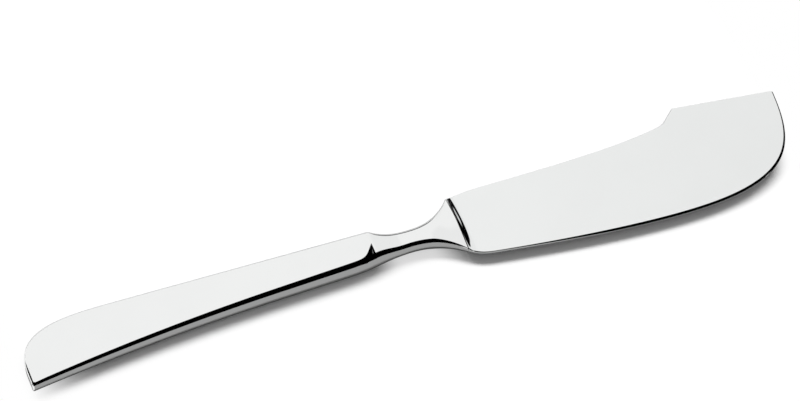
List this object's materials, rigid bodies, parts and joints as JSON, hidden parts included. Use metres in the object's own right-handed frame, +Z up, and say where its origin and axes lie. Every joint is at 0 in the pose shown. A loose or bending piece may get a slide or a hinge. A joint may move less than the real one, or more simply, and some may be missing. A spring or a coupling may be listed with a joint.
{
  "type": "parmesan knife",
  "caption": "Long table knife for hard cheese: a wide curved blade with a notched, raised tip edge, a slim stepped neck and a tapering flat handle.",
  "frame": {"origin": "centre of the bounding box in plan, at the level of the surface that the handle's crest rests on", "axes": "+X from the butt to the tip, +Y from the cutting edge towards the spine, +Z up, square to the knife's mid-plane"},
  "size_m": [0.2, 0.03, 0.006],
  "materials": {
    "polished_steel": "stainless steel polished to a mirror",
    "ground_steel": "stainless blade steel, ground and polished to a mirror",
    "silver_braze": "silver brazing alloy, dressed flush and polished with the steel",
    "handle_cement": "set cement, unseen inside the handle"
  },
  "bodies": {
    "root": {"blade": "ground_steel", "bolster_neck": "polished_steel", "shoulder_braze": "silver_braze", "upper_handle_shell": "polished_steel", "lower_handle_shell": "polished_steel", "handle_seam_braze": "silver_braze", "mouth_braze": "silver_braze", "handle_filler": "handle_cement"}
  },
  "joints": []
}
